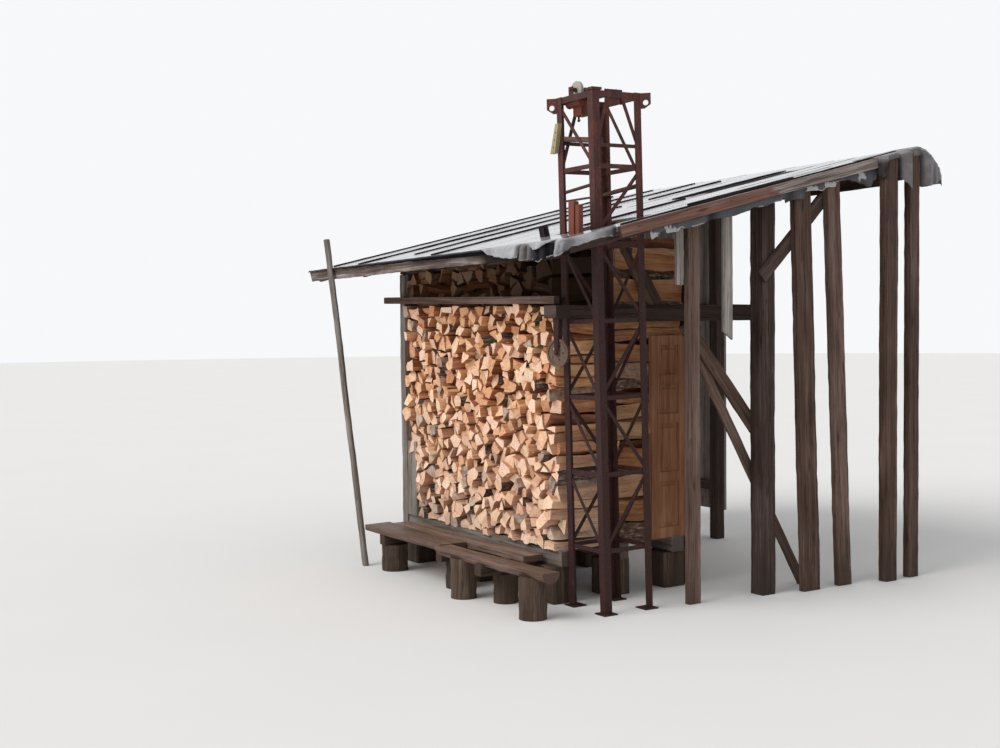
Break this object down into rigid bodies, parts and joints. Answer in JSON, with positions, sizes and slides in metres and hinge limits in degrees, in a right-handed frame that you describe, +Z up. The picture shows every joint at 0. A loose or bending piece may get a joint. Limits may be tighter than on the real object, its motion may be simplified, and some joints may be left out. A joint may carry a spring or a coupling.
{
  "type": "log store",
  "caption": "Lean-to log store with stacked split firewood under a felted roof on old posts, a plank bench and a rusty lattice mast at its corner.",
  "frame": {"origin": "underside of the front right base block, under the firewood's front right corner at ground level", "axes": "+X right along the front, +Y to the back and up the roof, +Z up"},
  "size_m": [3.8624, 3.5835, 3.5253],
  "materials": {
    "firewood": "raw split wood",
    "dark_timber": "weathered",
    "grey_timber": "weathered grey",
    "bench_timber": "worn",
    "base_timber": "rough",
    "fascia_timber": "old brown paint",
    "door_timber": "old varnish",
    "roofing_felt": "wet bitumen",
    "rusted_steel": "rusted",
    "wheel_iron": "rusted casting",
    "case_paint": "old red paint",
    "pale_case": "faded paint"
  },
  "bodies": {
    "store": {"base_piers": "base_timber", "sill_beams": "grey_timber", "log_stack_front": "firewood", "log_stack_rear": "firewood", "loose_logs": "firewood", "corner_post": "dark_timber", "rear_posts": "dark_timber", "wall_plates": "dark_timber", "front_rail": "grey_timber", "end_beam": "dark_timber", "end_brace": "grey_timber", "panel_door": "door_timber", "bench_planks": "bench_timber", "bench_half_log": "bench_timber", "bench_bearers": "bench_timber", "bench_stumps": "base_timber", "rafters": "dark_timber", "roof_deck": "grey_timber", "roof_felt": "roofing_felt", "roof_battens": "dark_timber", "eave_fascia": "grey_timber", "left_verge_board": "dark_timber", "verge_fascia": "fascia_timber", "verge_strip": "roofing_felt", "felt_flap_front": "roofing_felt", "felt_flap_high": "roofing_felt", "near_post": "dark_timber", "big_post": "dark_timber", "leaning_posts": "dark_timber", "outer_posts": "dark_timber", "high_beams": "dark_timber", "back_posts": "dark_timber", "back_rails": "dark_timber", "back_boards": "grey_timber", "knee_brace": "dark_timber", "raking_brace": "dark_timber", "leaning_board": "dark_timber", "hanging_boards": "grey_timber", "prop_pole": "grey_timber", "mast_leg_front_left": "rusted_steel", "mast_leg_front_right": "rusted_steel", "mast_leg_back_right": "rusted_steel", "mast_leg_back_left": "rusted_steel", "mast_front_bracing": "rusted_steel", "mast_right_bracing": "rusted_steel", "mast_back_bracing": "rusted_steel", "mast_left_bracing": "rusted_steel", "mast_shelf": "grey_timber", "head_frame": "rusted_steel", "hoist_box": "case_paint", "cable_box": "pale_case", "roof_case": "case_paint", "pulley_block": "dark_timber", "pulley_fork": "rusted_steel"},
    "guide_pulley": {"guide_pulley": "wheel_iron"},
    "head_sheave": {"head_sheave": "wheel_iron"}
  },
  "joints": [
    {"name": "guide_pulley_spin", "type": "hinge", "parent": "store", "child": "guide_pulley", "pos_m": [0.132, -0.07, 1.723], "axis": [0.225, -0.9744, 0], "continuous": true},
    {"name": "head_sheave_spin", "type": "hinge", "parent": "store", "child": "head_sheave", "pos_m": [0.19809, 0.05642, 3.46716], "axis": [0, -0.9999, -0.0155], "continuous": true}
  ]
}
